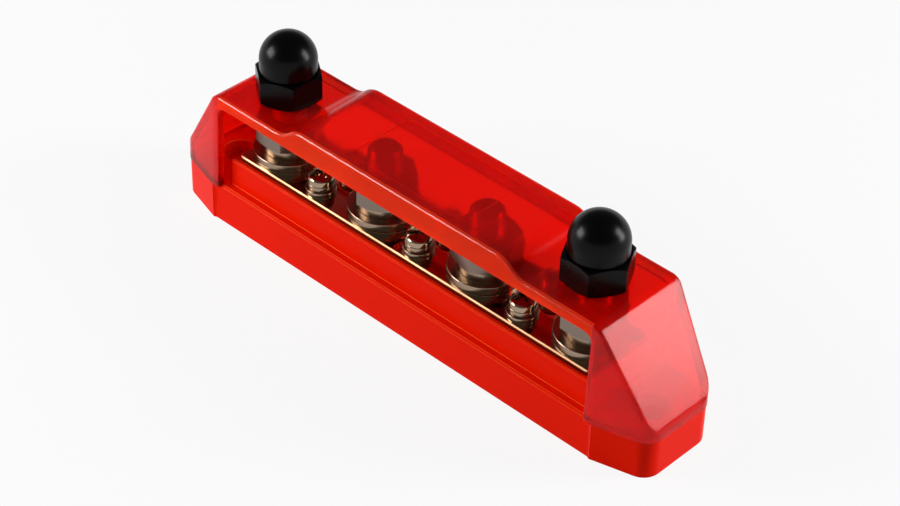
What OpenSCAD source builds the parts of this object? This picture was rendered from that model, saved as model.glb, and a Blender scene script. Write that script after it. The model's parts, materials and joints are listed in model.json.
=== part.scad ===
// Covered bus bar: a plated bar with stud and screw terminals on a moulded base,
// under a translucent cover that two domed cap nuts hold down.
// X runs along the bar, Z is up, and the origin is at the middle of the underside. Sizes are in mm.

/* [Layout] */
// Distance between neighbouring studs
stud_pitch = 38; // [36:0.5:50]
// Number of studs along the bar
stud_count = 4; // [3:1:5]
// Distance between the two rows of small screws
screw_row_gap = 12; // [11:0.2:15]

/* [Base] */
// From an end stud's axis to the end of the base
base_end = 31.3; // [29:0.1:40]
// Width of the plinth at the floor
base_w = 32.4; // [31:0.1:40]
// Height of the plinth
plinth_h = 12.4; // [11:0.1:16]
// How far each long side of the plinth leans in by its top
plinth_draft = 0.4; // [0.1:0.1:0.8]
// Chamfer along the plinth's top edges
plinth_edge = 0.6; // [0.3:0.1:1]
// How far the end blocks stand proud of the plinth's sides
end_proud = 0.4; // [0.1:0.05:0.8]
// Length of an end block's tapered part
end_taper_len = 16.2; // [13:0.1:17]
// Angle of the tapered sides in plan
end_taper = 15.5; // [8:0.5:20]
// Plan radius of the base's corners
end_r = 5.4; // [3:0.2:7]
// How far the end blocks lie below the plinth's top, where the cover's feet stand
end_drop = 0.6; // [0.4:0.1:2]
// Height of the platform above the plinth
platform_h = 8.5; // [6:0.25:12]
// Rim of the platform beside the bar
rim_side = 1.45; // [1:0.05:3]
// Rim of the platform past the bar's ends
rim_end = 1.6; // [0.8:0.1:2]
// How deep the bar is let into the platform
bar_pocket = 1.55; // [1:0.05:2.5]
// Wall round the pockets in the underside
base_wall = 2.6; // [2:0.1:3.2]
// Depth of the cored pockets in the underside
core_depth = 8; // [4:0.5:10]

/* [Mounting] */
// From the end of the base to a mounting hole's axis
mount_inset = 9.8; // [8.5:0.1:11]
// Diameter of the mounting holes
mount_d = 5.2; // [4:0.1:6]
// Diameter of the recess for the screw's head
mount_head_d = 10.4; // [8:0.2:12]
// Depth of the recess for the screw's head
mount_head_h = 4; // [2:0.5:6]

/* [Bar] */
// From an end stud's axis to the end of the bar
bar_end = 8.6; // [7:0.1:10]
// Width of the bar
bar_w = 22.8; // [22:0.1:26]
// Thickness of the bar
bar_t = 3; // [2.6:0.1:4]
// Radius of the bar's corners in plan
bar_r = 1; // [0.5:0.1:2]
// Chamfer along the bar's upper long edges
bar_edge = 0.35; // [0.1:0.05:0.6]

/* [Stud hardware] */
// Diameter of the studs
stud_d = 10; // [8:0.5:10]
// Width across flats of a stud's head
head_af = 16; // [15:0.5:17]
// Height of a stud's head
head_h = 6.4; // [5:0.1:7]
// How far a stud's head lies above the underside
head_recess = 0.5; // [0.2:0.1:1]
// Chamfer at a stud's tip
stud_tip = 1; // [0.5:0.1:1.5]
// How far an end stud reaches above the cover's top
stud_reach = 9; // [6:0.5:11]
// Gap between a middle stud's tip and the cover's roof
stud_roof_gap = 0.8; // [0.5:0.1:3]
// Outer diameter of the plain washers
washer_d = 21; // [19:0.1:22]
// Thickness of the plain washers
washer_t = 2.5; // [1.5:0.1:3]
// Outer diameter of the spring washers
spring_d = 16.2; // [15.8:0.1:18.5]
// Thickness of the spring washers
spring_t = 2.8; // [1.6:0.1:3.2]
// Width of the split in the spring washers
spring_split = 1.2; // [0.6:0.1:2]
// Width across flats of the stud nuts
nut_af = 17; // [16:0.5:18]
// Height of the stud nuts
nut_h = 8; // [6:0.2:8.4]

/* [Small screws] */
// Diameter of the small screws
screw_d = 4; // [3:0.5:5]
// Diameter of a small screw's head
screw_head_d = 7.4; // [6.5:0.1:8]
// Height of a small screw's head
screw_head_h = 2.9; // [2.4:0.1:3.4]
// How far a small screw reaches below the bar
screw_reach = 3; // [1:0.5:5]
// Outer diameter of the small plain washers
small_washer_d = 8.8; // [8:0.1:10]
// Thickness of the small plain washers
small_washer_t = 1.4; // [0.6:0.1:1.8]
// Outer diameter of the small spring washers
small_spring_d = 7.6; // [7:0.1:8.2]
// Thickness of the small spring washers
small_spring_t = 1.6; // [0.8:0.1:2]
// Width of the split in the small spring washers
small_split = 0.6; // [0.4:0.1:1]

/* [Cover] */
// How far the cover stands proud of the base at its ends
cover_proud = 0.3; // [0.1:0.1:1]
// Wall thickness of the cover
wall = 2.2; // [1.6:0.1:2.6]
// How far the cover stands proud of the end blocks at its sides
cover_side_proud = 0.2; // [0.1:0.05:0.6]
// How far each side of the cover leans in by its top
cover_lean = 1.4; // [0.8:0.1:2]
// Height of the cover's end tops above its feet
cover_h = 30.5; // [28.5:0.5:36]
// Height of the raised middle above the end tops
hump_h = 3.9; // [3:0.1:5]
// From an end stud's axis to the middle of the shoulder that rises to the raised middle
hump_inset = 15.75; // [14.5:0.25:16]
// Length of that shoulder
shoulder_len = 10.5; // [9.5:0.25:12]
// From an end stud's axis to the top of the sloped end
slope_start = 14.4; // [13.5:0.1:15.5]
// Height of the upright band below the sloped end
foot_band = 3; // [2:0.1:5]
// Radius of the edges across the sloped end, above and below it
slope_r = 4; // [2.8:0.1:4.5]
// From an end stud's axis to the end of the side openings
side_open = 12.3; // [11.6:0.1:12.5]
// How far the side lips hang below the end tops
lip_h = 3.3; // [2.6:0.1:4]
// Radius of the side openings' upper corners
side_open_r = 2.5; // [1.5:0.25:6]
// Length of the shallow panel on the raised middle
panel_l = 42.2; // [30:0.1:48]
// Width of that panel
panel_w = 23.2; // [16:0.1:25]
// Corner radius of that panel
panel_r = 2; // [1:0.25:4]
// Depth of that panel
panel_depth = 0.35; // [0.2:0.05:0.6]

/* [Cap nuts] */
// Width across flats of the cap nuts
cap_af = 17.4; // [16:0.2:18]
// Height of a cap nut's hexagon
cap_hex_h = 8.3; // [7:0.1:9]
// Diameter of a cap nut's dome
cap_dome_d = 16.4; // [15:0.2:17]
// Height of the dome's centre above the cap nut's seat
cap_dome_z = 11.8; // [9.4:0.1:13]
// How far the left cap nut is turned
cap_turn_left = 25; // [0:1:59]
// How far the right cap nut is turned
cap_turn_right = 57.5; // [0:0.5:59]

/* [Fits] */
// Gap between the bar and the sides of its pocket
bar_gap = 0.1; // [0.05:0.05:0.3]
// Gap between a stud's head and the sides of its pocket
head_gap = 0.15; // [0.1:0.05:0.3]
// Radial gap of a turning nut or screw on its thread
thread_gap = 0.05; // [0.02:0.01:0.1]
// Radial gap of a plain hole round a stud
stud_hole_gap = 0.3; // [0.2:0.05:0.6]
// Radial gap of a plain hole round a small screw
screw_hole_gap = 0.3; // [0.2:0.05:0.5]
// Gap between the cover's feet and the ends of the plinth's ledge
foot_gap = 0.2; // [0.1:0.05:0.5]

/* [Hidden] */
$fn = 96;
// Overshoot of a cut past the face that it opens
cut = 1;
// Steps along a rounded corner
arc_steps = 12;

half_span = (stud_count - 1) / 2 * stud_pitch;
base_half = half_span + base_end;
base_side = base_w / 2;
plinth_top_side = base_side - plinth_draft;
end_side = base_side + end_proud;
taper_x = base_half - end_taper_len;
// Length over which an end block steps out from the plinth's side
end_step_len = 2;
foot_z = plinth_h - end_drop;
mount_x = base_half - mount_inset;
// Corner radius of the cored pockets
core_r = 1;

bar_half = half_span + bar_end;
platform_half = bar_half + bar_gap + rim_end;
platform_side = bar_w / 2 + bar_gap + rim_side;
// Lean of the platform's sides, and the chamfer round its top
platform_draft = 0.2;
platform_edge = 0.4;
platform_z = plinth_h + platform_h;
bar_z = platform_z - bar_pocket;
bar_top = bar_z + bar_t;

side_open_x = half_span + side_open;
ledge_half = side_open_x - foot_gap;
cover_z = foot_z + cover_h;
hump_z = cover_z + hump_h;
hump_x = half_span - hump_inset;
slope_x = half_span + slope_start;
lip_z = cover_z - lip_h;
cover_half = base_half + cover_proud;
cover_side = end_side + cover_side_proud;

stud_r = stud_d / 2;
stud_hole_r = stud_r + stud_hole_gap;
thread_r = stud_r + thread_gap;
head_top = head_recess + head_h;
end_stud_top = cover_z + stud_reach;
mid_stud_top = hump_z - wall - stud_roof_gap;
washer_z = bar_top + washer_t;
spring_z = washer_z + spring_t;

screw_r = screw_d / 2;
screw_hole_r = screw_r + screw_hole_gap;
screw_thread_r = screw_r + thread_gap;
small_washer_z = bar_top + small_washer_t;
small_spring_z = small_washer_z + small_spring_t;
// Room under a small screw's tip, the drum below its domed top, and its cross recess
screw_tip_gap = 1;
screw_drum_h = 1.6;
recess_l = 4.6;
recess_w = 1;
recess_depth = 1.5;

// Groove under a cap nut's dome, and the spare depth of its hole past the stud
cap_groove = 0.3;
cap_bore_spare = 1.5;

// Places of the studs, and of the small screws midway between them in a front and a rear row
stud_x = [for (i = [0 : stud_count - 1]) i * stud_pitch - half_span];
bay_x = [for (i = [0 : stud_count - 2]) (i + 0.5) * stud_pitch - half_span];
screw_at = [for (side = [-1, 1]) for (x = bay_x) [x, side * screw_row_gap / 2]];

// Turn from each stud nut and screw to the next, as tightened, and the turn and slant of a washer's split
nut_turn = 23;
screw_turn = 37;
split_turn = 140;
split_slant = 20;

function numbered(name, count) = [for (i = [1 : count]) str(name, "_", i)];

STUD_NODES = ["stud", "stud_flat_washer", "stud_spring_washer", "stud_nut"];
SCREW_NODES = ["screw_flat_washer", "screw_spring_washer", "terminal_screw"];

red_moulding = "orangered";
clear_red = [0.85, 0.05, 0.03, 0.6];
plated = "silver";
steel = "lightgray";
black_moulding = [0.06, 0.06, 0.07];

function flip_x(points) = [for (i = [len(points) - 1 : -1 : 0]) [-points[i][0], points[i][1]]];
function flip_y(points) = [for (i = [len(points) - 1 : -1 : 0]) [points[i][0], -points[i][1]]];

// Points along an arc round a centre, from one angle to another
function arc(centre, r, from, to) = [
    for (i = [0 : arc_steps])
        let (angle = from + (to - from) * i / arc_steps)
        centre + r * [cos(angle), sin(angle)]
];

function after_first(points) = [for (i = [1 : len(points) - 1]) points[i]];

// Closes the right half of an outline with its mirror image
function both_halves(points) = concat(points, flip_x(points));

// A profile in X and Z, run across the part's whole width
module across(width) {
    rotate([90, 0, 0])
        linear_extrude(width, center = true)
            children();
}

// A profile in Y and Z, run along the part
module along(length) {
    rotate([90, 0, 90])
        linear_extrude(length, center = true)
            children();
}

module hexagon(af) {
    circle(d = af / cos(30), $fn = 6);
}

module rounded_rect(length, width, r) {
    x = length / 2 - r;
    y = width / 2 - r;
    polygon(both_halves(concat(arc([x, -y], r, -90, 0), arc([x, y], r, 0, 90))));
}

// Corner arc of the base's plan, and a quarter of that plan with each face moved out by grow
arc_x = base_half - end_r;
arc_y = end_side - end_taper_len * tan(end_taper) - end_r * tan(45 - end_taper / 2);

function end_points(grow) = concat(
    [[taper_x + grow * tan(end_taper / 2), end_side + grow]],
    arc([arc_x, arc_y], end_r + grow, 90 - end_taper, 0)
);

// The two end blocks, each with a short step out from the plinth's sides
module end_blocks() {
    quarter = concat([[taper_x - end_step_len, plinth_top_side]], end_points(0));
    for (turn = [0, 1])
        mirror([turn, 0, 0])
            linear_extrude(foot_z)
                polygon(concat(quarter, flip_y(quarter)));
}

// The plinth's leaning sides and chamfered edges, lowered at its ends where the cover's feet stand
module plinth() {
    intersection() {
        along(2 * taper_x)
            polygon(both_halves([
                [base_side, 0], [plinth_top_side, plinth_h - plinth_edge],
                [plinth_top_side - plinth_edge, plinth_h]
            ]));
        across(2 * base_w)
            polygon(both_halves([
                [taper_x, 0], [taper_x, foot_z], [ledge_half, foot_z], [ledge_half, plinth_h]
            ]));
    }
}

// Outline of the platform, seen from the side or from the end
module platform_outline(half) {
    polygon(both_halves([
        [half + platform_draft, foot_z], [half, platform_z - platform_edge],
        [half - platform_edge, platform_z]
    ]));
}

module platform() {
    intersection() {
        across(2 * base_w)
            platform_outline(platform_half);
        along(3 * base_half)
            platform_outline(platform_side);
    }
}

module bar_recess() {
    translate([0, 0, bar_z])
        linear_extrude(platform_z)
            rounded_rect(2 * (bar_half + bar_gap), bar_w + 2 * bar_gap, bar_r + bar_gap);
}

module stud_pockets() {
    for (x = stud_x)
        translate([x, 0, 0]) {
            cylinder(h = platform_z, r = stud_hole_r);
            translate([0, 0, -cut])
                linear_extrude(head_top + cut)
                    hexagon(head_af + 2 * head_gap);
        }
}

// Cored pockets in the underside, two in each bay between the studs
module core_pockets() {
    length = stud_pitch - (head_af + 2 * head_gap) / cos(30) - 2 * base_wall;
    width = plinth_top_side - 1.5 * base_wall;
    for (x = bay_x, side = [-1, 1])
        translate([x, side * (width + base_wall) / 2, -cut])
            linear_extrude(core_depth + cut)
                rounded_rect(length, width, core_r);
}

module screw_pockets() {
    depth = screw_reach + screw_tip_gap;
    for (at = screw_at)
        translate([at[0], at[1], bar_z - depth])
            cylinder(h = depth + cut, r = screw_hole_r);
}

module mount_holes() {
    for (side = [-1, 1])
        translate([side * mount_x, 0, 0]) {
            translate([0, 0, -cut])
                cylinder(h = plinth_h + cut, d = mount_d);
            translate([0, 0, foot_z - mount_head_h])
                cylinder(h = mount_head_h + cut, d = mount_head_d);
        }
}

module base() {
    color(red_moulding)
    difference() {
        union() {
            plinth();
            end_blocks();
            platform();
        }
        bar_recess();
        stud_pockets();
        core_pockets();
        screw_pockets();
        mount_holes();
    }
}

module bus_bar() {
    color(plated)
    difference() {
        intersection() {
            along(3 * bar_half)
                polygon(both_halves([
                    [bar_w / 2, bar_z], [bar_w / 2, bar_top - bar_edge],
                    [bar_w / 2 - bar_edge, bar_top]
                ]));
            translate([0, 0, bar_z])
                linear_extrude(bar_t)
                    rounded_rect(2 * bar_half, bar_w, bar_r);
        }
        for (x = stud_x)
            translate([x, 0, bar_z - cut])
                cylinder(h = bar_t + 2 * cut, r = stud_hole_r);
        for (at = screw_at)
            translate([at[0], at[1], bar_z - cut])
                cylinder(h = bar_t + 2 * cut, r = screw_thread_r);
    }
}

// Stud with a hexagon head below and a chamfered tip
module stud(i) {
    is_end = i == 0 || i == stud_count - 1;
    top = is_end ? end_stud_top : mid_stud_top;
    color(steel)
    translate([stud_x[i], 0, 0]) {
        translate([0, 0, head_recess])
            linear_extrude(head_h)
                hexagon(head_af);
        translate([0, 0, head_recess])
            cylinder(h = top - stud_tip - head_recess, r = stud_r);
        translate([0, 0, top - stud_tip])
            cylinder(h = stud_tip, r1 = stud_r, r2 = stud_r - stud_tip);
    }
}

module washer(outer_d, hole_r, t) {
    difference() {
        cylinder(h = t, d = outer_d);
        translate([0, 0, -cut])
            cylinder(h = t + 2 * cut, r = hole_r);
    }
}

// Ring with a slanting split
module split_washer(outer_d, hole_r, t, split) {
    difference() {
        washer(outer_d, hole_r, t);
        rotate([0, 0, split_turn])
            translate([outer_d / 2, 0, t / 2])
                rotate([split_slant, 0, 0])
                    cube([outer_d, split, 4 * t], center = true);
    }
}

// Hexagon whose corners are turned off at both ends
module nut_blank(af, h) {
    flat_r = af / 2;
    corner_r = flat_r / cos(30);
    bevel = (corner_r - flat_r) * tan(30);
    intersection() {
        linear_extrude(h)
            hexagon(af);
        rotate_extrude()
            polygon([
                [0, 0], [flat_r, 0], [corner_r, bevel],
                [corner_r, h - bevel], [flat_r, h], [0, h]
            ]);
    }
}

module stud_flat_washer(i) {
    color(plated)
    translate([stud_x[i], 0, bar_top])
        washer(washer_d, stud_hole_r, washer_t);
}

module stud_spring_washer(i) {
    color(plated)
    translate([stud_x[i], 0, washer_z])
        split_washer(spring_d, stud_hole_r, spring_t, spring_split);
}

module stud_nut(i) {
    color(plated)
    translate([stud_x[i], 0, spring_z])
        rotate([0, 0, i * nut_turn])
            difference() {
                nut_blank(nut_af, nut_h);
                translate([0, 0, -cut])
                    cylinder(h = nut_h + 2 * cut, r = thread_r);
            }
}

module screw_flat_washer(i) {
    color(plated)
    translate([screw_at[i][0], screw_at[i][1], bar_top])
        washer(small_washer_d, screw_hole_r, small_washer_t);
}

module screw_spring_washer(i) {
    color(plated)
    translate([screw_at[i][0], screw_at[i][1], small_washer_z])
        split_washer(small_spring_d, screw_hole_r, small_spring_t, small_split);
}

// Pan head: a low drum with a domed top
module pan_head() {
    r = screw_head_d / 2;
    rise = screw_head_h - screw_drum_h;
    dome_r = (r * r + rise * rise) / (2 * rise);
    intersection() {
        cylinder(h = screw_head_h, r = r);
        translate([0, 0, screw_head_h - dome_r])
            sphere(dome_r);
    }
}

module terminal_screw(i) {
    shank = small_spring_z - bar_z + screw_reach;
    color(plated)
    translate([screw_at[i][0], screw_at[i][1], small_spring_z])
        rotate([0, 0, i * screw_turn])
            difference() {
                union() {
                    pan_head();
                    translate([0, 0, -shank])
                        cylinder(h = shank + screw_drum_h, r = screw_r);
                }
                for (turn = [0, 90])
                    rotate([0, 0, turn])
                        translate([0, 0, screw_head_h])
                            cube([recess_l, recess_w, 2 * recess_depth], center = true);
            }
}

// Side view of the cover: upright bands, sloped ends, end tops, and shoulders of two equal arcs, a hollow
// one and a round one, up to the raised middle. Each face is moved in by inset, the open bottom down by drop.
module cover_outline(inset, drop) {
    slope = atan2(cover_h - foot_band, cover_half - slope_x);
    arc_r = (shoulder_len * shoulder_len + hump_h * hump_h) / (4 * hump_h);
    arc_turn = asin(shoulder_len / (2 * arc_r));
    // Centres of the rounded edges and of the arcs
    band_edge = [cover_half - slope_r, foot_z + foot_band - slope_r * tan(45 - slope / 2)];
    top_edge = [slope_x - slope_r * tan(slope / 2), cover_z - slope_r];
    hollow = [hump_x + shoulder_len / 2, cover_z + arc_r];
    round = [hump_x - shoulder_len / 2, hump_z - arc_r];
    polygon(both_halves(concat(
        [[cover_half - inset, foot_z - drop]],
        arc(band_edge, slope_r - inset, 0, 90 - slope),
        arc(top_edge, slope_r - inset, 90 - slope, 90),
        arc(hollow, arc_r + inset, 270, 270 - arc_turn),
        after_first(arc(round, arc_r - inset, 90 - arc_turn, 90))
    )));
}

// The cover's plan at a height, moved in by inset. Its sides and tapered faces lean in as it rises.
function cover_plan(inset, z) = let (
    lean = cover_proud - cover_side_proud + (z - foot_z) * cover_lean / (hump_z - foot_z),
    quarter = [for (point = end_points(cover_proud - inset)) point - [0, lean]]
) [for (point = both_halves(concat(quarter, flip_y(quarter)))) [point[0], point[1], z]];

// Form of the cover's leaning sides and tapered faces, past the top and down by drop
module cover_sides(inset, drop) {
    foot = cover_plan(inset, foot_z - drop);
    n = len(foot);
    polyhedron(
        concat(foot, cover_plan(inset, hump_z + cut)),
        concat(
            [[for (i = [n - 1 : -1 : 0]) i], [for (i = [0 : n - 1]) n + i]],
            [for (i = [0 : n - 1]) let (next = (i + 1) % n) [i, next, n + next, n + i]]
        )
    );
}

// The cover's solid form, moved in by inset, with the open bottom down by drop
module cover_form(inset, drop) {
    intersection() {
        across(4 * cover_side)
            cover_outline(inset, drop);
        cover_sides(inset, drop);
    }
}

// Openings along both long sides, with rounded upper corners
module side_openings() {
    corner = [side_open_x - side_open_r, lip_z - side_open_r];
    across(4 * cover_side)
        polygon(both_halves(concat([[side_open_x, foot_z - cut]], arc(corner, side_open_r, 0, 90))));
}

module cover() {
    color(clear_red)
    difference() {
        cover_form(0, 0);
        cover_form(wall, cut);
        side_openings();
        for (side = [-1, 1])
            translate([side * half_span, 0, lip_z])
                cylinder(h = hump_z, r = stud_hole_r);
        translate([0, 0, hump_z - panel_depth])
            linear_extrude(hump_z)
                rounded_rect(panel_l, panel_w, panel_r);
    }
}

// Domed cap nut with a narrow groove under the dome and a blind hole for the stud
module cap_nut(side, turn) {
    dome_r = cap_dome_d / 2;
    bore = stud_reach + cap_bore_spare;
    color(black_moulding)
    translate([side * half_span, 0, cover_z])
        difference() {
            union() {
                rotate([0, 0, turn])
                    nut_blank(cap_af, cap_hex_h);
                cylinder(h = cap_hex_h + cap_groove, r = dome_r - cap_groove);
                translate([0, 0, cap_hex_h + cap_groove])
                    cylinder(h = cap_dome_z - cap_hex_h - cap_groove, r = dome_r);
                translate([0, 0, cap_dome_z])
                    intersection() {
                        sphere(dome_r);
                        cylinder(h = dome_r, r = dome_r);
                    }
            }
            translate([0, 0, -cut])
                cylinder(h = bore + cut, r = thread_r);
            translate([0, 0, bore])
                cylinder(h = thread_r / 2, r1 = thread_r, r2 = 0);
        }
}

module cap_nut_left() {
    cap_nut(-1, cap_turn_left);
}

module cap_nut_right() {
    cap_nut(1, cap_turn_right);
}

base();
bus_bar();
cover();
cap_nut_left();
cap_nut_right();
for (i = [0 : stud_count - 1]) {
    stud(i);
    stud_flat_washer(i);
    stud_spring_washer(i);
    stud_nut(i);
}
for (i = [0 : len(screw_at) - 1]) {
    screw_flat_washer(i);
    screw_spring_washer(i);
    terminal_screw(i);
}
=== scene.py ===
"""Looks of a covered bus bar: a red moulded base, a nickel plated bar with its studs, nuts, washers and
screws, and a translucent red cover that two black domed cap nuts hold down. Sizes named here are in
millimetres, turned to metres by MM, and angles are in degrees. X runs along the bar and Z is up."""

import json
import math

import bmesh
import bpy
from mathutils import Matrix, Quaternion, Vector

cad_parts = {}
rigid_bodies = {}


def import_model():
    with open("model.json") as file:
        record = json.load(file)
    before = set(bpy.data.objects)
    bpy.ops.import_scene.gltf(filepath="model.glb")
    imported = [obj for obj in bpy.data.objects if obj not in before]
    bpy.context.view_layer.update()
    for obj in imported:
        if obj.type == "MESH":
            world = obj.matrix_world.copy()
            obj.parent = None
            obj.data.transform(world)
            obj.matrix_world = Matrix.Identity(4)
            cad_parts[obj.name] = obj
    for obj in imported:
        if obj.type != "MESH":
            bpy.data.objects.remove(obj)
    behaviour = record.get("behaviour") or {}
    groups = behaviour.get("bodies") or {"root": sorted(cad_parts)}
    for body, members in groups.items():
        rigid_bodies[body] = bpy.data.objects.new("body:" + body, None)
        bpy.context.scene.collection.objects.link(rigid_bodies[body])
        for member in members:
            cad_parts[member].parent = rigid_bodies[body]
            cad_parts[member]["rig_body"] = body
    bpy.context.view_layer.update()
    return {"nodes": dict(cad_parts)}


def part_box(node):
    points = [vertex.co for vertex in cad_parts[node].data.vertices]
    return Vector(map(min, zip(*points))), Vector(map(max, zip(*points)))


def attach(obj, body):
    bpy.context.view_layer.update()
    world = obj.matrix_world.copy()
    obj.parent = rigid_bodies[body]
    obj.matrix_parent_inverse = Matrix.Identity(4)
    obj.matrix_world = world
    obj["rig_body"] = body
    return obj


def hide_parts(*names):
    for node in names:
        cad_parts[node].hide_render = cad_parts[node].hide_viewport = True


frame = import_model()

MM = 0.001
STUDS = range(1, 5)
END_STUDS = (1, 4)
SCREWS = range(1, 7)

# Camera: the photograph's viewing angle, with the image taken as 900 x 506
CAMERA_AZIMUTH = 42.92
CAMERA_ELEVATION = 38.07
CAMERA_ROLL = 1.68
CAMERA_DISTANCE = 665.95
CAMERA_AIM = (3.87, 2.25, 18.74)
CAMERA_LENS = 98.02
CAMERA_SENSOR_W = 36

# Cover
WALL = 2.2
COVER_LEAN = 1.4  # of each side, over the cover's height
COVER_PROUD = 0.3  # past the sides of the base
HUMP_INSET = 15.75  # from an end stud to the middle of the shoulder
SHOULDER_LEN = 10.5
SLOPE_START = 14.4  # from an end stud to where the slope begins
SLOPE_R = 4.0
FOOT_BAND = 3.0  # upright strip below the slope
SIDE_OPEN = 12.3  # from an end stud to the end of the open side
SIDE_OPEN_R = 2.5
LIP_H = 3.3
LIP_EDGE_R = 0.35
PANEL_LEN = 42.2
PANEL_W = 23.2
PANEL_R = 2.0
PANEL_DEPTH = 0.35

# Rims round the cover's top, which run out towards the round corners of its foot
RIM_R = 1.0
RIM_STEPS = 5
INNER_RIM_R = 0.8
INNER_RIM_STEPS = 3
RIM_RUN_OUT = 4.0  # length over which the rim runs out
RIM_END = 0.6  # from the cover's end to where the rim has run out
RIM_LEFT = 0.1  # share of the radius that is left there

# Plan of the base's ends, which the cover follows
END_TAPER_LEN = 16.2
END_TAPER = 15.5
END_R = 5.4

# Fine rounding of the base's and the bar's edges
BASE_EDGE_R = 0.5
BAR_EDGE_R = 0.12

# Studs and their nuts
STUD_D = 10.0
STUD_HEAD_AF = 16.0
STUD_HEAD_H = 6.4
STUD_HEAD_EDGE_R = 0.25
STUD_TIP = 1.0
THREAD_PITCH = 1.5
THREAD_DEPTH = 0.8
THREAD_CREST = 0.1  # share of the pitch that is flat
THREAD_CREST_IN = 0.08
THREAD_GAP = 0.05
NUT_AF = 17.0
NUT_FACE_IN = 0.2  # from the flats in to the round end face
NUT_CORNER_R = 0.25
NUT_COUNTERSINK = 0.6
NUT_TURN = 23

# Washers
HOLE_GAP = 0.3
SPLIT_TURN = 140
SPLIT_TILT = 20

# Small screws
SCREW_D = 4.0
SCREW_TIP = 0.4
SCREW_HEAD_H = 2.9
SCREW_HEAD_EDGE = 0.15
SCREW_DRUM_H = 1.6
SCREW_BROW = 0.3  # from the dome's edge down to where the drum is upright
SCREW_TURN = 37
CROSS_LEN = 4.6
CROSS_W = 1.0
CROSS_DEPTH = 1.5

# Cap nuts
CAP_AF = 17.4
CAP_HEX_H = 8.3
CAP_CORNER_R = 0.3
CAP_GROOVE = 0.3
CAP_DOME_D = 16.4
CAP_DOME_Z = 11.8
CAP_DOME_EDGE_W = 0.12  # of the bevel below the dome
CAP_DOME_EDGE_H = 0.15
CAP_BORE_SPARE = 1.5  # past the end of the stud
CAP_TURN = {"cap_nut_left": 25, "cap_nut_right": 57.5}

# Cuts, steps and tolerances
CORNER_OFF = 30  # slope of the cone that takes a hexagon's corners off
CUT_PAST = 1.0  # how far a cutter runs past the face that it cuts
SIDE_DROP = 100.0  # length of the cover's sides before they are trimmed
LEAST_STEP = 0.05  # closest spacing of the rows across the cover
NEAR = 0.1  # what still counts as the same place
MERGE = 0.002  # points this close are one
MOST_TURN = 126  # a sharper edge is rounded as if it turned this far
FINE = 96  # facets round a turned piece that shows
COARSE = 48  # facets round a bore or a stud's blank

# Studio
SWEEP_R = 1800
SWEEP_CURVE_R = 900
SWEEP_OWN_WHITE = 0.88


# Modelling

def only(obj):
    """Leaves obj the one selected and active object."""
    bpy.ops.object.select_all(action="DESELECT")
    obj.select_set(True)
    bpy.context.view_layer.objects.active = obj


def edit(obj):
    """Enters edit mode with all of obj selected."""
    only(obj)
    bpy.ops.object.mode_set(mode="EDIT")
    bpy.ops.mesh.select_all(action="SELECT")


def leave_edit():
    bpy.ops.object.mode_set(mode="OBJECT")


def outline_loop(name, points, fill):
    """A circle primitive whose vertices are set along an outline, in metres."""
    bpy.ops.object.select_all(action="DESELECT")
    bpy.ops.mesh.primitive_circle_add(vertices=len(points), radius=1, fill_type=fill)
    obj = bpy.context.object
    obj.name = name
    for vertex, point in zip(obj.data.vertices, points):
        vertex.co = point
    return obj


def prism(name, points, sweep):
    """An outline extruded along a vector, both in metres."""
    obj = outline_loop(name, points, "NGON")
    edit(obj)
    bpy.ops.mesh.extrude_region_move(TRANSFORM_OT_translate={"value": sweep})
    bpy.ops.mesh.select_all(action="SELECT")
    bpy.ops.mesh.normals_make_consistent(inside=False)
    leave_edit()
    return obj


def block(name, length, width, height, place):
    """A cube primitive of that size, set in place by a matrix."""
    bpy.ops.object.select_all(action="DESELECT")
    bpy.ops.mesh.primitive_cube_add(size=1)
    obj = bpy.context.object
    obj.name = name
    obj.data.transform(place @ Matrix.Diagonal((length * MM, width * MM, height * MM, 1)))
    return obj


def drop_edge(obj, first, second):
    """Removes the edge between two vertices."""
    form = bmesh.new()
    form.from_mesh(obj.data)
    form.verts.ensure_lookup_table()
    edge = form.edges.get((form.verts[first], form.verts[second]))
    form.edges.remove(edge)
    form.to_mesh(obj.data)
    form.free()


def turned(name, profile, steps=64, is_closed=True):
    """A profile of radius and height pairs spun round Z as on a lathe."""
    obj = outline_loop(name, [Vector((r, 0, z)) * MM for r, z in profile], "NOTHING")
    if not is_closed:
        drop_edge(obj, 0, len(profile) - 1)
    edit(obj)
    bpy.ops.mesh.spin(steps=steps, angle=2 * math.pi, center=(0, 0, 0), axis=(0, 0, 1))
    bpy.ops.mesh.select_all(action="SELECT")
    bpy.ops.mesh.remove_doubles(threshold=MERGE * MM)
    bpy.ops.mesh.normals_make_consistent(inside=False)
    leave_edit()
    return obj


def apply_modifier(obj, kind, **settings):
    only(obj)
    modifier = obj.modifiers.new(kind.lower(), kind)
    for name, value in settings.items():
        setattr(modifier, name, value)
    bpy.ops.object.modifier_apply(modifier=modifier.name)


def combine(obj, other, operation, solver="MANIFOLD"):
    """Cuts, joins or trims obj with another solid, which is used up."""
    apply_modifier(obj, "BOOLEAN", object=other, operation=operation, solver=solver)
    bpy.data.objects.remove(other)


def trim(obj, point, normal):
    """Cuts off what lies past a plane and closes the cut."""
    edit(obj)
    bpy.ops.mesh.bisect(plane_co=point, plane_no=normal, use_fill=True, clear_outer=True)
    leave_edit()


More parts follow.
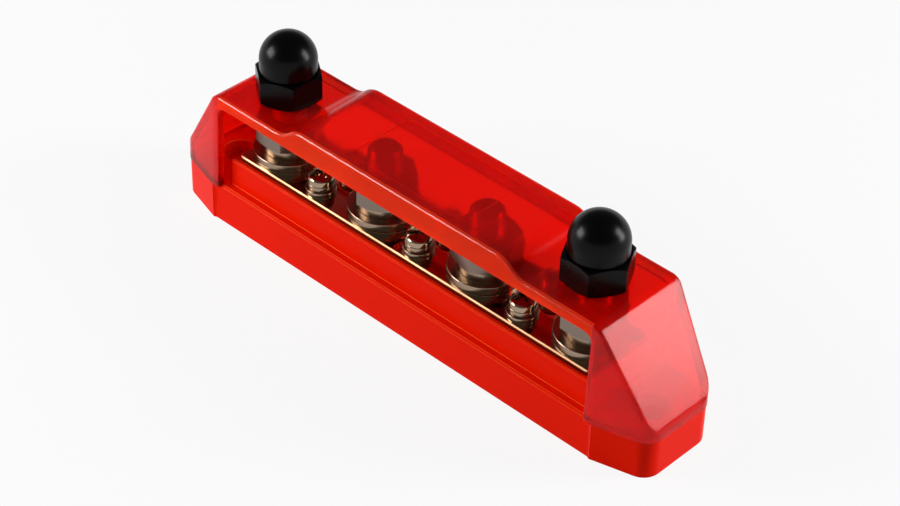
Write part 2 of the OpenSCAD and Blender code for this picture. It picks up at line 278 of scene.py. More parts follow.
def round_edges(obj, radius_at, least_turn=25, segments=3, clamp=False, material=-1):
    """Rounds each edge whose faces turn by more than least_turn, to the radius that radius_at gives for
    the edge's middle. The rounding may take a material of its own."""
    form = bmesh.new()
    form.from_mesh(obj.data)
    layers = form.edges.layers.float
    weight = layers.get("bevel_weight_edge") or layers.new("bevel_weight_edge")
    setbacks = {}
    for e in form.edges:
        turn = math.degrees(e.calc_face_angle(0))
        half_turn = math.radians(min(turn, MOST_TURN) / 2)
        middle = (e.verts[0].co + e.verts[1].co) / 2
        setbacks[e] = radius_at(middle) * math.tan(half_turn) if turn > least_turn else 0
    largest = max(setbacks.values())
    for e, setback in setbacks.items():
        e[weight] = setback / largest
    form.to_mesh(obj.data)
    form.free()
    apply_modifier(obj, "BEVEL", width=largest * MM, limit_method="WEIGHT", segments=segments,
                   use_clamp_overlap=clamp, miter_outer="MITER_SHARP", material=material)


def smooth(obj, angle=35):
    """Smooth shading in which the flat faces stay flat and the small rounded ones take up the turn."""
    only(obj)
    bpy.ops.object.shade_smooth_by_angle(angle=math.radians(angle))
    apply_modifier(obj, "WEIGHTED_NORMAL", keep_sharp=True, weight=80)


def arc(centre, radius, start, end, steps=8):
    """Points along an arc, from one angle to another."""
    angles = [math.radians(start + (end - start) * i / steps) for i in range(steps + 1)]
    return [(centre[0] + radius * math.cos(a), centre[1] + radius * math.sin(a)) for a in angles]


def corner_radius(af):
    """Radius to a hexagon's corners, from its width across flats."""
    return af / 2 / math.cos(math.radians(30))


def hex_block(name, af, height):
    """A hexagonal block that stands on the origin."""
    corner = corner_radius(af) * MM
    angles = [math.radians(60 * i) for i in range(6)]
    corners = [Vector((corner * math.cos(a), corner * math.sin(a), 0)) for a in angles]
    return prism(name, corners, (0, 0, height * MM))


def upright_edges(height, radius):
    """Gives the radius at an upright edge of a block of that height, and none round its two ends."""
    return lambda at: radius if height / 4 < at.z / MM < height * 3 / 4 else 0


def coat(obj, *materials):
    obj.data.materials.clear()
    for material in materials:
        obj.data.materials.append(material)


def copied(obj):
    copy = obj.copy()
    copy.data = obj.data.copy()
    bpy.context.scene.collection.objects.link(copy)
    return copy


def stand_for(obj, cad_node):
    """Lets a piece that is in place stand for its CAD node."""
    obj.name = "finished_" + cad_node
    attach(obj, frame["nodes"][cad_node]["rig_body"])
    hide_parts(cad_node)


def seat_copy(pattern, cad_node, turn=0):
    """Copies a piece made at the origin to its CAD node: on its axis, standing where the node stands."""
    low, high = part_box(cad_node)
    middle = (low + high) / 2
    seat = Matrix.Translation((middle.x, middle.y, low.z))
    piece = copied(pattern)
    piece.data.transform(seat @ Matrix.Rotation(math.radians(turn), 4, "Z"))
    stand_for(piece, cad_node)


# Materials

# A Mix node's colour sockets share their names with its other sockets, so they go by number
MIX_A, MIX_B, MIX_RESULT = 6, 7, 2


def linear(hex_colour):
    """Linear colour of an sRGB hex value."""
    channels = [int(hex_colour[i:i + 2], 16) / 255 for i in (1, 3, 5)]
    return [c / 12.92 if c <= 0.04045 else ((c + 0.055) / 1.055) ** 2.4 for c in channels] + [1]


def add_node(tree, kind, inputs=None, **settings):
    """Adds a node with its settings. An input is a value, or the socket that it is linked from."""
    node = tree.nodes.new(kind)
    for name, value in settings.items():
        setattr(node, name, value)
    for name, value in (inputs or {}).items():
        if isinstance(value, bpy.types.NodeSocket):
            tree.links.new(value, node.inputs[name])
        else:
            node.inputs[name].default_value = value
    return node


def new_material(name):
    material = bpy.data.materials.new(name)
    material.use_nodes = True
    material.node_tree.nodes.clear()
    return material, material.node_tree


def per_metre(size_mm):
    """Texture scale for a pattern of that size."""
    return 1 / (size_mm * MM)


def transparent_red_polycarbonate(name, first, second, clearness, polish, haze):
    """Injection moulded polycarbonate in transparent red: polished, with dark shapes of what lies behind
    it. A wall this thin hardly bends the view, so its IOR is low, and the coat carries the gloss."""
    material, tree = new_material(name)
    spot = add_node(tree, "ShaderNodeTexCoord").outputs["Object"]
    ripple = add_node(tree, "ShaderNodeTexNoise", {"Vector": spot, "Scale": per_metre(9), "Detail": 2})
    bump = add_node(tree, "ShaderNodeBump", {
        "Height": ripple.outputs["Fac"], "Strength": 0.05, "Distance": 0.3 * MM})
    flow = add_node(tree, "ShaderNodeTexNoise", {"Vector": spot, "Scale": per_metre(30), "Detail": 3})
    tone = add_node(tree, "ShaderNodeMix", {
        "Factor": flow.outputs["Fac"], MIX_A: linear(first), MIX_B: linear(second)}, data_type="RGBA")
    shader = add_node(tree, "ShaderNodeBsdfPrincipled", {
        "Base Color": tone.outputs[MIX_RESULT], "Roughness": 0.2, "IOR": 1.15,
        "Transmission Weight": clearness, "Specular IOR Level": 0.05, "Specular Tint": linear("#FF4030"),
        "Coat Weight": polish, "Coat Roughness": haze, "Coat IOR": 1.5, "Normal": bump.outputs[0]})
    add_node(tree, "ShaderNodeOutputMaterial", {"Surface": shader.outputs[0]})
    return material


def red_polycarbonate(name, first, second, roughness, level):
    """Injection moulded polycarbonate in orange-red: even satin gloss, and a fine grain from the mould,
    drawn as coarse as it needs to show."""
    material, tree = new_material(name)
    spot = add_node(tree, "ShaderNodeTexCoord").outputs["Object"]
    flow = add_node(tree, "ShaderNodeTexNoise", {"Vector": spot, "Scale": per_metre(25), "Detail": 3})
    tone = add_node(tree, "ShaderNodeMix", {
        "Factor": flow.outputs["Fac"], MIX_A: linear(first), MIX_B: linear(second)}, data_type="RGBA")
    grain = add_node(tree, "ShaderNodeTexNoise", {"Vector": spot, "Scale": per_metre(0.6), "Detail": 2})
    bump = add_node(tree, "ShaderNodeBump", {
        "Height": grain.outputs["Fac"], "Strength": 0.06, "Distance": 0.05 * MM})
    shader = add_node(tree, "ShaderNodeBsdfPrincipled", {
        "Base Color": tone.outputs[MIX_RESULT], "Roughness": roughness, "IOR": 1.58,
        "Specular IOR Level": level, "Specular Tint": linear("#FF7A30"), "Normal": bump.outputs[0]})
    add_node(tree, "ShaderNodeOutputMaterial", {"Surface": shader.outputs[0]})
    return material


def grained_metal(name, colour, roughness, grain_mm, depth):
    """Plated or bare metal: a mirror in its own colour, broken up by the grain that rolling, turning or
    stamping left, and duller in some places than in others."""
    material, tree = new_material(name)
    spot = add_node(tree, "ShaderNodeTexCoord").outputs["Object"]
    grain = add_node(tree, "ShaderNodeTexNoise", {
        "Vector": spot, "Scale": per_metre(grain_mm), "Detail": 4})
    cloud = add_node(tree, "ShaderNodeTexNoise", {"Vector": spot, "Scale": per_metre(6), "Detail": 2})
    dull = add_node(tree, "ShaderNodeMapRange", {
        "Value": cloud.outputs["Fac"], "To Min": roughness * 0.7, "To Max": roughness * 1.4})
    bump = add_node(tree, "ShaderNodeBump", {
        "Height": grain.outputs["Fac"], "Strength": 0.2, "Distance": depth * MM})
    shader = add_node(tree, "ShaderNodeBsdfPrincipled", {
        "Base Color": linear(colour), "Metallic": 1.0, "Roughness": dull.outputs[0],
        "Normal": bump.outputs[0]})
    add_node(tree, "ShaderNodeOutputMaterial", {"Surface": shader.outputs[0]})
    return material


def black_nylon():
    """Injection moulded black nylon: near black, semi-gloss, with a very fine moulded grain, drawn as
    coarse as it needs to show."""
    material, tree = new_material("black_nylon_moulded")
    spot = add_node(tree, "ShaderNodeTexCoord").outputs["Object"]
    grain = add_node(tree, "ShaderNodeTexNoise", {"Vector": spot, "Scale": per_metre(0.35), "Detail": 2})
    bump = add_node(tree, "ShaderNodeBump", {
        "Height": grain.outputs["Fac"], "Strength": 0.08, "Distance": 0.04 * MM})
    shine = add_node(tree, "ShaderNodeMapRange", {
        "Value": grain.outputs["Fac"], "To Min": 0.22, "To Max": 0.3})
    shader = add_node(tree, "ShaderNodeBsdfPrincipled", {
        "Base Color": linear("#030303"), "Roughness": shine.outputs[0], "IOR": 1.53,
        "Specular IOR Level": 0.1, "Normal": bump.outputs[0]})
    add_node(tree, "ShaderNodeOutputMaterial", {"Surface": shader.outputs[0]})
    return material


# The cover's walls: deep red, with the nuts and studs as dark shapes behind them
CLEAR_RED = transparent_red_polycarbonate(
    "transparent_red_polycarbonate_moulded", "#F00C02", "#FC1404", clearness=0.75, polish=0.3, haze=0.16)
# Painted light: the lip and the rim above it are coloured brighter and more orange, for the light they gather
# from the walls
PAINTED_LIGHT_LIP_RED = transparent_red_polycarbonate(
    "transparent_red_polycarbonate_lip_painted_light", "#FF300C", "#FF4414", clearness=0.45, polish=0.05, haze=0.08)
# The rim came out of the mould more polished, so that a light line runs along it. Its colour is the lip's
# brighter red, painted light as well
RIM_RED = transparent_red_polycarbonate(
    "transparent_red_polycarbonate_polished_rim", "#FF300C", "#FF4414", clearness=0.45, polish=0.7, haze=0.08)
# The base lets no light through, and looks even and satin
SOLID_RED = red_polycarbonate(
    "opaque_red_polycarbonate_moulded", "#DE1400", "#E81A00", roughness=0.35, level=0.04)
# Its edges reflect the lamps more, in orange, and are also coloured lighter and more orange than the walls as
# a painted highlight
PAINTED_HIGHLIGHT_EDGE_RED = red_polycarbonate(
    "opaque_red_polycarbonate_edge_painted_highlight", "#FF7432", "#FF8A44", roughness=0.25, level=0.5)
# Rolled flat and plated, the bar's top is a warm mirror
BRIGHT_NICKEL = grained_metal("nickel_plated_bar", "#B8A894", roughness=0.06, grain_mm=1.5, depth=0.008)
# Painted reflection: the bar's sides are coloured a dark copper red that stands in for the red base they
# mirror
BAR_SIDE_PAINTED_REFLECTION = grained_metal("bar_side_painted_red_reflection", "#7A3A20", roughness=0.3, grain_mm=0.4, depth=0.03)
# Rubbed edges are dull, and catch light as a soft line
BAR_EDGE = grained_metal("nickel_plated_bar_rubbed_edge", "#A07858", roughness=0.38, grain_mm=0.4, depth=0.03)
# Turned screws have small sharp reflections. Their colour is darker and browner than plated nickel, painted
# shade and reflection of the dark, red surroundings
NICKEL = grained_metal("nickel_plated_hardware", "#A28C76", roughness=0.1, grain_mm=0.4, depth=0.03)
# The turned nuts are coloured darker, painted shade for the dark surroundings that their flats reflect, and
# their roughness softens it
SHADED_NUT_NICKEL = grained_metal("nickel_plated_nut_painted_shade", "#7E7066", roughness=0.2, grain_mm=0.4, depth=0.03)
# Stamped washers are uneven, which breaks their reflections up. Their colour is darker and browner than
# plated nickel, painted shade and reflection of the dark, red surroundings
WASHER_NICKEL = grained_metal(
    "nickel_plated_stamped_washer", "#9A8672", roughness=0.2, grain_mm=0.35, depth=0.16)
# Zinc on rolled threads is an even, dull grey
STEEL = grained_metal("zinc_plated_stud_steel", "#989188", roughness=0.28, grain_mm=0.3, depth=0.03)
BLACK = black_nylon()


# Cover

cover_low, cover_high = [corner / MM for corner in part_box("cover")]
foot_z = cover_low.z
hump_z = cover_high.z
cover_half = cover_high.x
base_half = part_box("base")[1].x / MM
cover_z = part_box("cap_nut_left")[0].z / MM
end_stud_x = sum(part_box("stud_4"), Vector()).x / 2 / MM
slope_x = end_stud_x + SLOPE_START
opening_x = end_stud_x + SIDE_OPEN
lip_z = cover_z - LIP_H
lip_y = cover_high.y - COVER_LEAN - WALL / 2
side_lean = COVER_LEAN / (hump_z - foot_z)


def both_ends(points):
    """Closes the right half of an outline with its mirror image."""
    return points + [(-x, v) for x, v in reversed(points)]


def along(points, x):
    """Value at x of a row of points that runs outwards from the middle."""
    for (x0, v0), (x1, v1) in zip(points, points[1:]):
        if x <= x1:
            return v0 + (v1 - v0) * max(0, x - x0) / (x1 - x0)
    return points[-1][1]


def cover_top(inset):
    """Right half of the cover's top seen from its long side, from the middle to the foot band, moved in
    by inset."""
    hump_h = hump_z - cover_z
    slope = math.degrees(math.atan2(cover_z - foot_z - FOOT_BAND, cover_half - slope_x))
    arc_r = (SHOULDER_LEN ** 2 + hump_h ** 2) / (4 * hump_h)
    arc_turn = math.degrees(math.asin(SHOULDER_LEN / (2 * arc_r)))
    hump_x = end_stud_x - HUMP_INSET
    crown = (hump_x - SHOULDER_LEN / 2, hump_z - arc_r)
    hollow = (hump_x + SHOULDER_LEN / 2, cover_z + arc_r)
    top_edge = (slope_x - SLOPE_R * math.tan(math.radians(slope / 2)), cover_z - SLOPE_R)
    band_edge = (cover_half - SLOPE_R,
                 foot_z + FOOT_BAND - SLOPE_R * math.tan(math.radians(45 - slope / 2)))
    points = [(0, hump_z - inset)]
    points += arc(crown, arc_r - inset, 90, 90 - arc_turn, steps=12)[:-1]
    points += arc(hollow, arc_r + inset, 270 - arc_turn, 270, steps=12)
    points += arc(top_edge, SLOPE_R - inset, 90, 90 - slope, steps=12)
    points += arc(band_edge, SLOPE_R - inset, 90 - slope, 0)
    return points


def cover_plan(grow):
    """Right half of the cover's back edge seen from above, at the foot, with a tapered end and a round
    corner."""
    taper = math.radians(END_TAPER)
    side = cover_high.y - COVER_PROUD
    arc_y = side - END_TAPER_LEN * math.tan(taper) - END_R * math.tan(math.pi / 4 - taper / 2)
    points = [(0, side + grow), (base_half - END_TAPER_LEN + grow * math.tan(taper / 2), side + grow)]
    return points + arc((base_half - END_R, arc_y), END_R + grow, 90 - END_TAPER, 0)


def cover_rows(top, plan, rim_r, steps):
    """Rows of points across the cover's top, from its right foot to its left one, that round over at
    both rims."""
    places = sorted(x for x, v in top + plan if x > 0)
    places = [x for x, after in zip(places, places[1:] + [math.inf]) if after - x > LEAST_STEP]
    path = both_ends([(x, along(top, x)) for x in reversed(places)])
    quarter = [math.pi / 2 * k / steps for k in range(steps + 1)]
    across = [(-1, a) for a in quarter] + [(1, a) for a in reversed(quarter)]
    rows = []
    for i, (x, z) in enumerate(path):
        (x0, z0), (x1, z1) = path[max(i - 1, 0)], path[min(i + 1, len(path) - 1)]
        inward = Vector((z0 - z1, x1 - x0)).normalized()
        r = rim_r * min(1, max(RIM_LEFT, (cover_half - RIM_END - abs(x)) / RIM_RUN_OUT))
        row = []
        for side, angle in across:
            depth = r * (1 - math.sin(angle))
            in_x, in_z = x + inward.x * depth, z + inward.y * depth
            half = along(plan, abs(in_x)) - (in_z - foot_z) * side_lean
            row.append(Vector((in_x, side * (half - r * (1 - math.cos(angle))), in_z)) * MM)
        rows.append(row)
    return rows


def cover_form(name, inset, drop, rim_r, steps):
    """The cover's solid form, moved in by inset: a grid over its top with rounded rims, and sides that
    lead down from the rims to the foot, or past it by drop. Its sides lean in as they rise."""
    plan = cover_plan(COVER_PROUD - inset)
    rows = cover_rows(cover_top(inset), plan, rim_r, steps)
    bpy.ops.object.select_all(action="DESELECT")
    bpy.ops.mesh.primitive_grid_add(x_subdivisions=len(rows[0]) - 1, y_subdivisions=len(rows) - 1, size=1)
    form = bpy.context.object
    form.name = name
    vertices = sorted(form.data.vertices, key=lambda v: (round(v.co.y, 5), v.co.x))
    for vertex, point in zip(vertices, sum(rows, [])):
        vertex.co = point
    edit(form)
    bpy.ops.mesh.region_to_loop()
    bpy.ops.mesh.extrude_region_move(TRANSFORM_OT_translate={"value": (0, 0, -SIDE_DROP * MM)})
    leave_edit()
    end_x = cover_half - inset - 2 * NEAR
    end_y = along(plan, end_x)
    for vertex in form.data.vertices:
        if vertex.co.z < 0:
            # The end face stays upright, so its points only spread towards its corners
            is_end = abs(vertex.co.x) / MM > end_x
            share = min(1, abs(vertex.co.y) / MM / end_y) if is_end else 1
            vertex.co.y += math.copysign(SIDE_DROP * side_lean * share * MM, vertex.co.y)
    trim(form, (0, 0, (foot_z - drop) * MM), (0, 0, -1))
    edit(form)
    bpy.ops.mesh.normals_make_consistent(inside=False)
    leave_edit()
    return form


def side_openings():
    """Cutter for the two open sides, which leaves a lip along the top."""
    reach = 2 * cover_high.y
    corner = (opening_x - SIDE_OPEN_R, lip_z - SIDE_OPEN_R)
    outline = both_ends([(opening_x, foot_z - CUT_PAST)] + arc(corner, SIDE_OPEN_R, 0, 90))
    points = [Vector((x, -reach, z)) * MM for x, z in outline]
    return prism("side_openings", points, (0, 2 * reach * MM, 0))


def stud_hole(x):
    hole_r = STUD_D / 2 + HOLE_GAP
    hole = turned("stud_hole", [(0, lip_z), (hole_r, lip_z), (hole_r, hump_z), (0, hump_z)])
    hole.data.transform(Matrix.Translation((x * MM, 0, 0)))
    return hole


def panel_recess():
    """Cutter for the shallow panel on the cover's raised middle."""
    x, y = PANEL_LEN / 2 - PANEL_R, PANEL_W / 2 - PANEL_R
    half = arc((x, -y), PANEL_R, -90, 0) + arc((x, y), PANEL_R, 0, 90)
    points = [Vector((x, y, hump_z - PANEL_DEPTH)) * MM for x, y in both_ends(half)]
    return prism("panel", points, (0, 0, (PANEL_DEPTH + CUT_PAST) * MM))


def lip_radius(at):
    """Gives the radius at the outer edges of the open sides, and none elsewhere."""
    x, y, z = (abs(c) / MM for c in at)
    is_outer = x < opening_x + NEAR and y > lip_y
    return LIP_EDGE_R if is_outer and foot_z + NEAR < z < lip_z + NEAR else 0


def paint_light_on_lip_and_rim(cover):
    """Gives the lip and the rim above it their materials, whose brighter red is painted light; these end
    where the open side ends.
    """
    edit(cover)
    for end in (-1, 1):
        bpy.ops.mesh.select_all(action="SELECT")
        bpy.ops.mesh.bisect(plane_co=(end * opening_x * MM, 0, 0), plane_no=(1, 0, 0))
    leave_edit()
    coat(cover, CLEAR_RED, PAINTED_LIGHT_LIP_RED, RIM_RED)
    for face in cover.data.polygons:
        x, y, z = (abs(c) / MM for c in face.center)
        if x < opening_x and y > lip_y and z > lip_z - NEAR:
            faces_up = face.normal.z > 0.3
            face.material_index = 2 if faces_up else 1


def make_cover():
    """One moulding: hollow, open along both sides, with a hole for each end stud and a panel on top."""
    cover = cover_form("cover_shell", 0, 0, RIM_R, RIM_STEPS)
    hollow = cover_form("cover_hollow", WALL, CUT_PAST, INNER_RIM_R, INNER_RIM_STEPS)
    combine(cover, hollow, "DIFFERENCE")
    combine(cover, side_openings(), "DIFFERENCE")
    for end in (-1, 1):
        combine(cover, stud_hole(end * end_stud_x), "DIFFERENCE")
    combine(cover, panel_recess(), "DIFFERENCE")
    edit(cover)
    bpy.ops.mesh.dissolve_limited(angle_limit=math.radians(0.3))
    leave_edit()
    round_edges(cover, lip_radius, least_turn=40)
    paint_light_on_lip_and_rim(cover)
    smooth(cover)
    stand_for(cover, "cover")


# Hardware

def make_cap_nuts():
    """Domed cap nuts: a hexagon with its corners turned off, a groove and a dome, round a blind bore."""
    dome_r = CAP_DOME_D / 2
    flat_r = CAP_AF / 2
    corner_r = corner_radius(CAP_AF)
    rise = (corner_r - flat_r) * math.tan(math.radians(CORNER_OFF))
    neck_r = dome_r - CAP_GROOVE
    neck_z = CAP_HEX_H + CAP_GROOVE
    root_z = CAP_HEX_H / 2
    bore = STUD_D / 2 + THREAD_GAP
    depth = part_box("stud_1")[1].z / MM - cover_z + CAP_BORE_SPARE
    nut = hex_block("cap_nut", CAP_AF, CAP_HEX_H)
    round_edges(nut, upright_edges(CAP_HEX_H, CAP_CORNER_R))
    combine(nut, turned("corners_off", [
        (0, 0), (flat_r, 0), (corner_r, rise), (corner_r, CAP_HEX_H - rise), (flat_r, CAP_HEX_H),
        (0, CAP_HEX_H)], FINE), "INTERSECT")
    combine(nut, turned("dome", [
        (0, root_z), (neck_r, root_z), (neck_r, neck_z), (dome_r - CAP_DOME_EDGE_W, neck_z),
        (dome_r, neck_z + CAP_DOME_EDGE_H)] + arc((0, CAP_DOME_Z), dome_r, 0, 90, steps=24), FINE), "UNION")
    combine(nut, turned("bore", [
        (0, -CUT_PAST), (bore, -CUT_PAST), (bore, depth), (0, depth + bore / 2)], COARSE), "DIFFERENCE")
    smooth(nut)
    coat(nut, BLACK)
    for cad_node, turn in CAP_TURN.items():
        seat_copy(nut, cad_node, turn)
    bpy.data.objects.remove(nut)


def make_stud_nuts():
    """Hexagon nuts with their corners turned off at both ends and a countersunk bore."""
    low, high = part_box("stud_nut_1")
    height = (high.z - low.z) / MM
    corner_r = corner_radius(NUT_AF)
    flat_r = NUT_AF / 2 - NUT_FACE_IN
    rise = (corner_r - flat_r) * math.tan(math.radians(CORNER_OFF))
    bore = STUD_D / 2 + THREAD_GAP
    mouth = bore + NUT_COUNTERSINK
    nut = hex_block("stud_nut", NUT_AF, height)
    round_edges(nut, upright_edges(height, NUT_CORNER_R))
    combine(nut, turned("nut_blank", [
        (bore, NUT_COUNTERSINK), (mouth, 0), (flat_r, 0), (corner_r, rise), (corner_r, height - rise),
        (flat_r, height), (mouth, height), (bore, height - NUT_COUNTERSINK)], FINE), "INTERSECT")
    smooth(nut)
    coat(nut, SHADED_NUT_NICKEL)
    for i in STUDS:
        seat_copy(nut, f"stud_nut_{i}", NUT_TURN * (i - 1))
    bpy.data.objects.remove(nut)


def threaded_stud(cad_node):
    """A stud of the node's length: a screw thread trimmed by a chamfered blank, on a hexagon head."""
    low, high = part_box(cad_node)
    length = (high.z - low.z) / MM
    r = STUD_D / 2
    root, crest = r - THREAD_DEPTH, r - THREAD_CREST_IN
    crest_low, crest_high = [THREAD_PITCH * (side * THREAD_CREST - 1) / 2 for side in (-1, 1)]
    ridge = [(root, -THREAD_PITCH), (crest, crest_low), (crest, crest_high), (root, 0)]
    stud = outline_loop("thread", [Vector((x, 0, z)) * MM for x, z in ridge], "NOTHING")
    drop_edge(stud, 0, len(ridge) - 1)
    apply_modifier(stud, "SCREW", angle=2 * math.pi, screw_offset=THREAD_PITCH * MM,
                   iterations=math.ceil(length / THREAD_PITCH) + 2, steps=32, render_steps=32,
                   use_merge_vertices=True, merge_threshold=MERGE * MM, use_normal_calculate=True)
    edit(stud)
    bpy.ops.mesh.remove_doubles(threshold=MERGE * MM)
    bpy.ops.mesh.normals_make_consistent(inside=False)
    leave_edit()
    trim(stud, (0, 0, STUD_HEAD_H / 2 * MM), (0, 0, -1))
    trim(stud, (0, 0, length * MM), (0, 0, 1))
    blank = turned("stud_blank", [
        (0, 0), (r, 0), (r, length - STUD_TIP), (r - STUD_TIP, length), (0, length)], COARSE)
    combine(stud, blank, "INTERSECT", "EXACT")
    head = hex_block("stud_head", STUD_HEAD_AF, STUD_HEAD_H)
    round_edges(head, lambda at: STUD_HEAD_EDGE_R, segments=2)
    combine(stud, head, "UNION", "EXACT")
    smooth(stud, angle=30)
    coat(stud, STEEL)
    return stud


def make_studs():
    """The end studs are longer than the others, because the cap nuts are on them."""
    end_stud, middle_stud = threaded_stud("stud_1"), threaded_stud("stud_2")
    for i in STUDS:
        seat_copy(end_stud if i in END_STUDS else middle_stud, f"stud_{i}")
    bpy.data.objects.remove(end_stud)
    bpy.data.objects.remove(middle_stud)


def make_washers(kind, numbers, shank_d, edge_r, split_w=0):
    """Washers with rounded edges. A spring washer is split by a slanting cut of width split_w."""
    low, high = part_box(f"{kind}_1")
    size = (high - low) / MM
    inner, outer = shank_d / 2 + HOLE_GAP + edge_r, size.x / 2 - edge_r
    corners = [(outer, edge_r, 270), (outer, size.z - edge_r, 0),
               (inner, size.z - edge_r, 90), (inner, edge_r, 180)]
    profile = [p for x, z, start in corners for p in arc((x, z), edge_r, start, start + 90, steps=3)]
    ring = turned(kind, profile, FINE)
    if split_w:
        across = Matrix.Rotation(math.radians(SPLIT_TURN), 4, "Z")
        middle = Matrix.Translation((size.x / 2 * MM, 0, size.z / 2 * MM))
        tilt = Matrix.Rotation(math.radians(SPLIT_TILT), 4, "X")
        saw = block("saw", size.x, split_w, 4 * size.z, across @ middle @ tilt)
        combine(ring, saw, "DIFFERENCE")
    smooth(ring)
    coat(ring, WASHER_NICKEL)
    for i in numbers:
        seat_copy(ring, f"{kind}_{i}")
    bpy.data.objects.remove(ring)


def make_screws():
    """Small pan head screws with a cross recess."""
    low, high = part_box("terminal_screw_1")
    length = (high.z - low.z) / MM
    head_r = (high.x - low.x) / 2 / MM
    shank = length - SCREW_HEAD_H
    shank_r = SCREW_D / 2
    rise = SCREW_HEAD_H - SCREW_DRUM_H
    dome_r = (head_r ** 2 + rise ** 2) / (2 * rise)
    half_dome = math.degrees(math.asin(head_r / dome_r))
    crown = arc((0, length - dome_r), dome_r, 90 - half_dome, 90, steps=10)
    screw = turned("terminal_screw", [
        (0, 0), (shank_r - SCREW_TIP, 0), (shank_r, SCREW_TIP), (shank_r, shank),
        (head_r - SCREW_HEAD_EDGE, shank), (head_r, shank + SCREW_HEAD_EDGE),
        (head_r, shank + SCREW_DRUM_H - SCREW_BROW)] + crown[1:])
    top = Matrix.Translation((0, 0, length * MM))
    for turn in (0, 90):
        crosswise = Matrix.Rotation(math.radians(turn), 4, "Z")
        recess = block("recess", CROSS_LEN, CROSS_W, 2 * CROSS_DEPTH, top @ crosswise)
        combine(screw, recess, "DIFFERENCE")
    smooth(screw)
    coat(screw, NICKEL)
    for i in SCREWS:
        seat_copy(screw, f"terminal_screw_{i}", SCREW_TURN * (i - 1))
    bpy.data.objects.remove(screw)


# Base and bar

def rounded_copy(cad_node, radius, materials, edges=0, sides=0, slopes=0):
    """A copy of a CAD node whose sharp edges are finely rounded. Its edges, its upright sides and its
    slopes may each take another of the materials, by number."""
    # The most that the normal of an upright side points up, and the least that a level face's does
    upright, level = 0.2, 0.95
    piece = copied(frame["nodes"][cad_node])
    coat(piece, *materials)
    edit(piece)
    bpy.ops.mesh.remove_doubles(threshold=MERGE * MM)
    bpy.ops.mesh.dissolve_limited(angle_limit=math.radians(0.5))
    leave_edit()
    round_edges(piece, lambda at: radius, least_turn=35, clamp=True, material=edges)
    for face in piece.data.polygons:
        if abs(face.normal.z) < upright:
            face.material_index = sides
        elif slopes and abs(face.normal.z) < level:
            face.material_index = slopes
    smooth(piece)
    stand_for(piece, cad_node)


make_cover()
make_cap_nuts()
make_stud_nuts()
make_studs()
make_washers("stud_flat_washer", STUDS, STUD_D, edge_r=0.3)
make_washers("stud_spring_washer", STUDS, STUD_D, edge_r=0.25, split_w=1.2)
make_washers("screw_flat_washer", SCREWS, SCREW_D, edge_r=0.15)
make_washers("screw_spring_washer", SCREWS, SCREW_D, edge_r=0.15, split_w=0.6)
make_screws()
# The base's rounded edges take the painted highlight
rounded_copy("base", BASE_EDGE_R, [SOLID_RED, PAINTED_HIGHLIGHT_EDGE_RED], edges=1)
# The bar's upright sides take the painted reflection of the base
rounded_copy("bus_bar", BAR_EDGE_R, [BRIGHT_NICKEL, BAR_SIDE_PAINTED_REFLECTION, BAR_EDGE], edges=2, sides=1, slopes=2)


# Studio

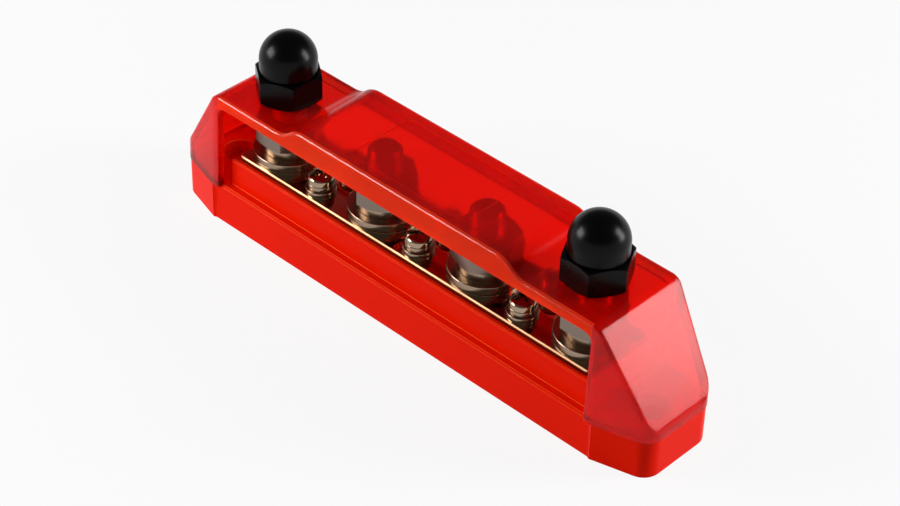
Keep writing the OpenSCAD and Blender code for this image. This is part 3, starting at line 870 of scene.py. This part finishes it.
def white_sweep():
    """Pale floor that curves up all round into a backdrop. Seen directly or in a reflection it is mostly
    its own white, and what is left of the light on it keeps the object's shadow."""
    material, tree = new_material("white_paper_sweep")
    path = add_node(tree, "ShaderNodeLightPath").outputs
    either = add_node(tree, "ShaderNodeMath", {
        0: path["Is Camera Ray"], 1: path["Is Glossy Ray"]}, operation="MAXIMUM")
    seen = add_node(tree, "ShaderNodeMath", {
        0: either.outputs[0], 1: path["Is Transmission Ray"]}, operation="MAXIMUM")
    share = add_node(tree, "ShaderNodeMath", {0: seen.outputs[0], 1: SWEEP_OWN_WHITE}, operation="MULTIPLY")
    paper = add_node(tree, "ShaderNodeBsdfDiffuse", {"Color": linear("#E4E4E4")})
    own_white = add_node(tree, "ShaderNodeEmission", {"Color": linear("#FFFFFF"), "Strength": 1.0})
    mixed = add_node(tree, "ShaderNodeMixShader", {
        0: share.outputs[0], 1: paper.outputs[0], 2: own_white.outputs[0]})
    add_node(tree, "ShaderNodeOutputMaterial", {"Surface": mixed.outputs[0]})
    curve = arc((SWEEP_R, SWEEP_CURVE_R), SWEEP_CURVE_R, 270, 350, steps=12)
    sweep = turned("sweep", [(0, 0), (SWEEP_R, 0)] + curve, is_closed=False)
    edit(sweep)
    bpy.ops.mesh.normals_make_consistent(inside=True)
    leave_edit()
    coat(sweep, material)
    smooth(sweep)


def softbox(name, direction, distance, size, power):
    """A rectangular soft light that faces the object, sized and placed in metres."""
    light = bpy.data.lights.new(name, "AREA")
    light.shape = "RECTANGLE"
    light.size, light.size_y = size
    light.energy = power
    obj = bpy.data.objects.new(name, light)
    away = Vector(direction).normalized()
    obj.location = away * distance + Vector(CAMERA_AIM) * MM
    obj.rotation_mode = "QUATERNION"
    obj.rotation_quaternion = away.to_track_quat("Z", "Y")
    obj.visible_camera = False
    bpy.context.scene.collection.objects.link(obj)


def make_world():
    """Dim, even light from all round."""
    world = bpy.data.worlds.new("studio")
    bpy.context.scene.world = world
    world.use_nodes = True
    tree = world.node_tree
    tree.nodes.clear()
    dim = add_node(tree, "ShaderNodeBackground", {"Color": linear("#FFFFFF"), "Strength": 0.15})
    add_node(tree, "ShaderNodeOutputWorld", {"Surface": dim.outputs[0]})


def make_camera():
    data = bpy.data.cameras.new("camera")
    data.lens = CAMERA_LENS
    data.sensor_width = CAMERA_SENSOR_W
    data.clip_start, data.clip_end = 0.01, 20
    camera = bpy.data.objects.new("camera", data)
    azimuth, elevation = math.radians(CAMERA_AZIMUTH), math.radians(CAMERA_ELEVATION)
    level = math.cos(elevation)
    back = Vector((math.sin(azimuth) * level, -math.cos(azimuth) * level, math.sin(elevation)))
    roll = Quaternion((0, 0, 1), math.radians(CAMERA_ROLL))
    camera.location = (Vector(CAMERA_AIM) + back * CAMERA_DISTANCE) * MM
    camera.rotation_mode = "QUATERNION"
    camera.rotation_quaternion = (-back).to_track_quat("-Z", "Y") @ roll
    bpy.context.scene.collection.objects.link(camera)
    bpy.context.scene.camera = camera


white_sweep()
softbox("right_softbox", direction=(0.71, 0.59, 0.36), distance=0.65, size=(0.20, 0.38), power=3.9)
softbox("left_softbox", direction=(-0.654, -0.645, 0.42), distance=0.65, size=(0.30, 0.25), power=3.8)
make_world()
make_camera()
bpy.context.scene.view_settings.view_transform = "Standard"
